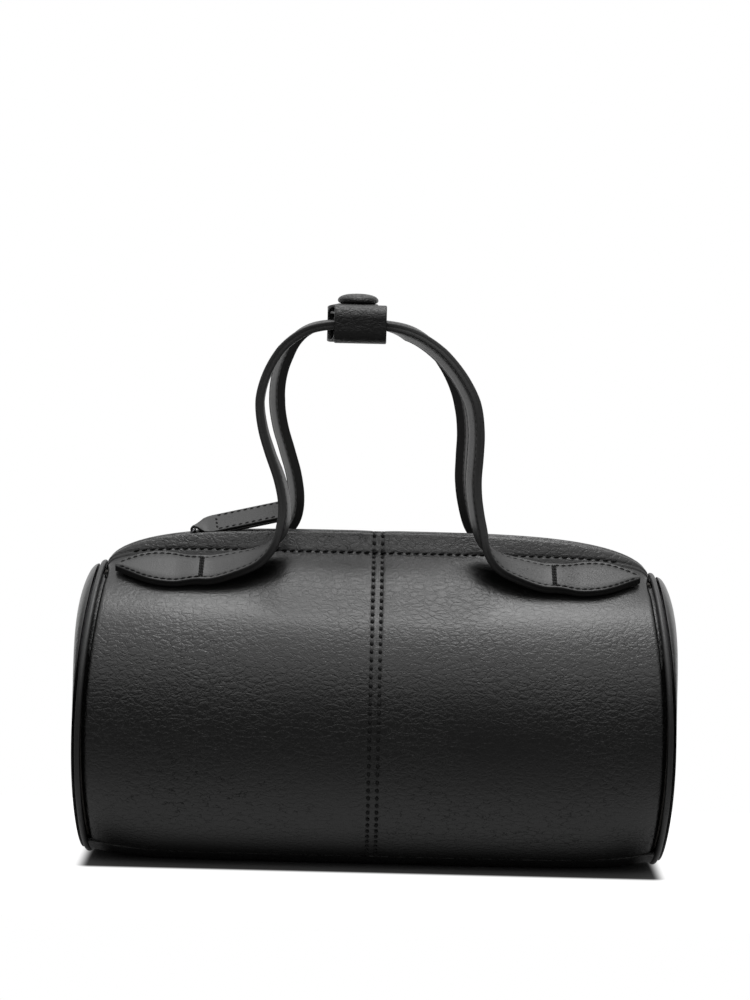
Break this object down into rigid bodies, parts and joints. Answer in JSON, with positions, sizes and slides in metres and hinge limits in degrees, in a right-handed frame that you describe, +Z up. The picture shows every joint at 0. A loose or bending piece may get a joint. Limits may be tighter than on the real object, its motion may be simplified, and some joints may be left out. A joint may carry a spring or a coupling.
{
  "type": "barrel handbag",
  "caption": "Barrel-shaped handbag in black pebbled leather with a zipped ridge on top, round piped ends and arched leather handles held together by a snap keeper.",
  "frame": {"origin": "middle of the flat base that the bag stands on", "axes": "+Z up, +X along the barrel to the right in the front view, -Y to the front"},
  "size_m": [0.2806, 0.1368, 0.2626],
  "materials": {
    "pebbled_leather": "pebbled, soft sheen",
    "strap_leather": "fine grain, painted edges",
    "lining_cloth": "woven, matt",
    "fibre_board": "pressed fibre board",
    "end_pad": "felt padding",
    "piping_cord": "twisted cotton cord",
    "snap_metal": "black nickel",
    "zip_teeth": "moulded"
  },
  "bodies": {
    "bag": {"front_panel_left": "pebbled_leather", "front_panel_right": "pebbled_leather", "rear_panel_left": "pebbled_leather", "rear_panel_right": "pebbled_leather", "base_panel": "pebbled_leather", "end_panel_left": "pebbled_leather", "end_panel_right": "pebbled_leather", "piping_left": "pebbled_leather", "piping_right": "pebbled_leather", "zip_cover_left": "pebbled_leather", "zip_cover_right": "pebbled_leather", "handle_tab_front_left": "strap_leather", "handle_tab_front_right": "strap_leather", "handle_tab_rear_left": "strap_leather", "handle_tab_rear_right": "strap_leather", "seam_tape_front": "lining_cloth", "seam_tape_rear": "lining_cloth", "lining_barrel": "lining_cloth", "lining_end_left": "lining_cloth", "lining_end_right": "lining_cloth", "zip_tape_front": "lining_cloth", "zip_tape_rear": "lining_cloth", "base_board": "fibre_board", "end_board_left": "fibre_board", "end_board_right": "fibre_board", "tab_patch_front_left": "fibre_board", "tab_patch_front_right": "fibre_board", "tab_patch_rear_left": "fibre_board", "tab_patch_rear_right": "fibre_board", "end_pad_left": "end_pad", "end_pad_right": "end_pad", "piping_cord_left": "piping_cord", "piping_cord_right": "piping_cord", "zip_stop_left": "snap_metal", "zip_stop_right": "snap_metal", "zip_teeth_front": "zip_teeth", "zip_teeth_rear": "zip_teeth"},
    "zip_slider": {"zip_slider": "snap_metal", "zip_slider_base": "snap_metal"},
    "zip_pull": {"zip_link": "snap_metal", "zip_pull_upper": "strap_leather", "zip_pull_lower": "strap_leather"},
    "front_handle": {"front_handle_outer": "strap_leather", "front_handle_inner": "strap_leather"},
    "rear_handle": {"rear_handle_outer": "strap_leather", "rear_handle_inner": "strap_leather"},
    "keeper": {"keeper_band": "strap_leather", "snap_stud": "snap_metal"},
    "keeper_flap": {"keeper_flap": "strap_leather", "snap_socket": "snap_metal", "snap_post": "snap_metal", "snap_cap": "strap_leather"}
  },
  "joints": [
    {"name": "zip_slide", "type": "slide", "parent": "bag", "child": "zip_slider", "axis": [1, 0, 0], "range_m": [0, 0.181]},
    {"name": "zip_pull_swing", "type": "hinge", "parent": "zip_slider", "child": "zip_pull", "pos_m": [-0.0905, 0, 0.14575], "axis": [0, -1, 0], "range_deg": [0, 105]},
    {"name": "front_handle_lean", "type": "hinge", "parent": "bag", "child": "front_handle", "pos_m": [0, -0.02599, 0.13536], "axis": [1, 0, 0], "range_deg": [-6, 6], "stiffness_Nm_per_rad": 0.8},
    {"name": "rear_handle_lean", "type": "hinge", "parent": "bag", "child": "rear_handle", "pos_m": [0, 0.02599, 0.13536], "axis": [1, 0, 0], "range_deg": [-6, 6], "stiffness_Nm_per_rad": 0.8},
    {"name": "keeper_tilt", "type": "hinge", "parent": "front_handle", "child": "keeper", "pos_m": [-0.01071, -0.0095, 0.24846], "axis": [1, 0, 0], "range_deg": [-16.5, 16.5]},
    {"name": "snap_flap_open", "type": "hinge", "parent": "keeper", "child": "keeper_flap", "pos_m": [-0.01071, 0.0192, 0.24791], "axis": [-1, 0, 0], "range_deg": [0, 100]}
  ],
  "couplings": [
    {"joint": "rear_handle_lean", "follows": "front_handle_lean", "ratio": 1},
    {"joint": "keeper_tilt", "follows": "front_handle_lean", "ratio": -2.737}
  ]
}
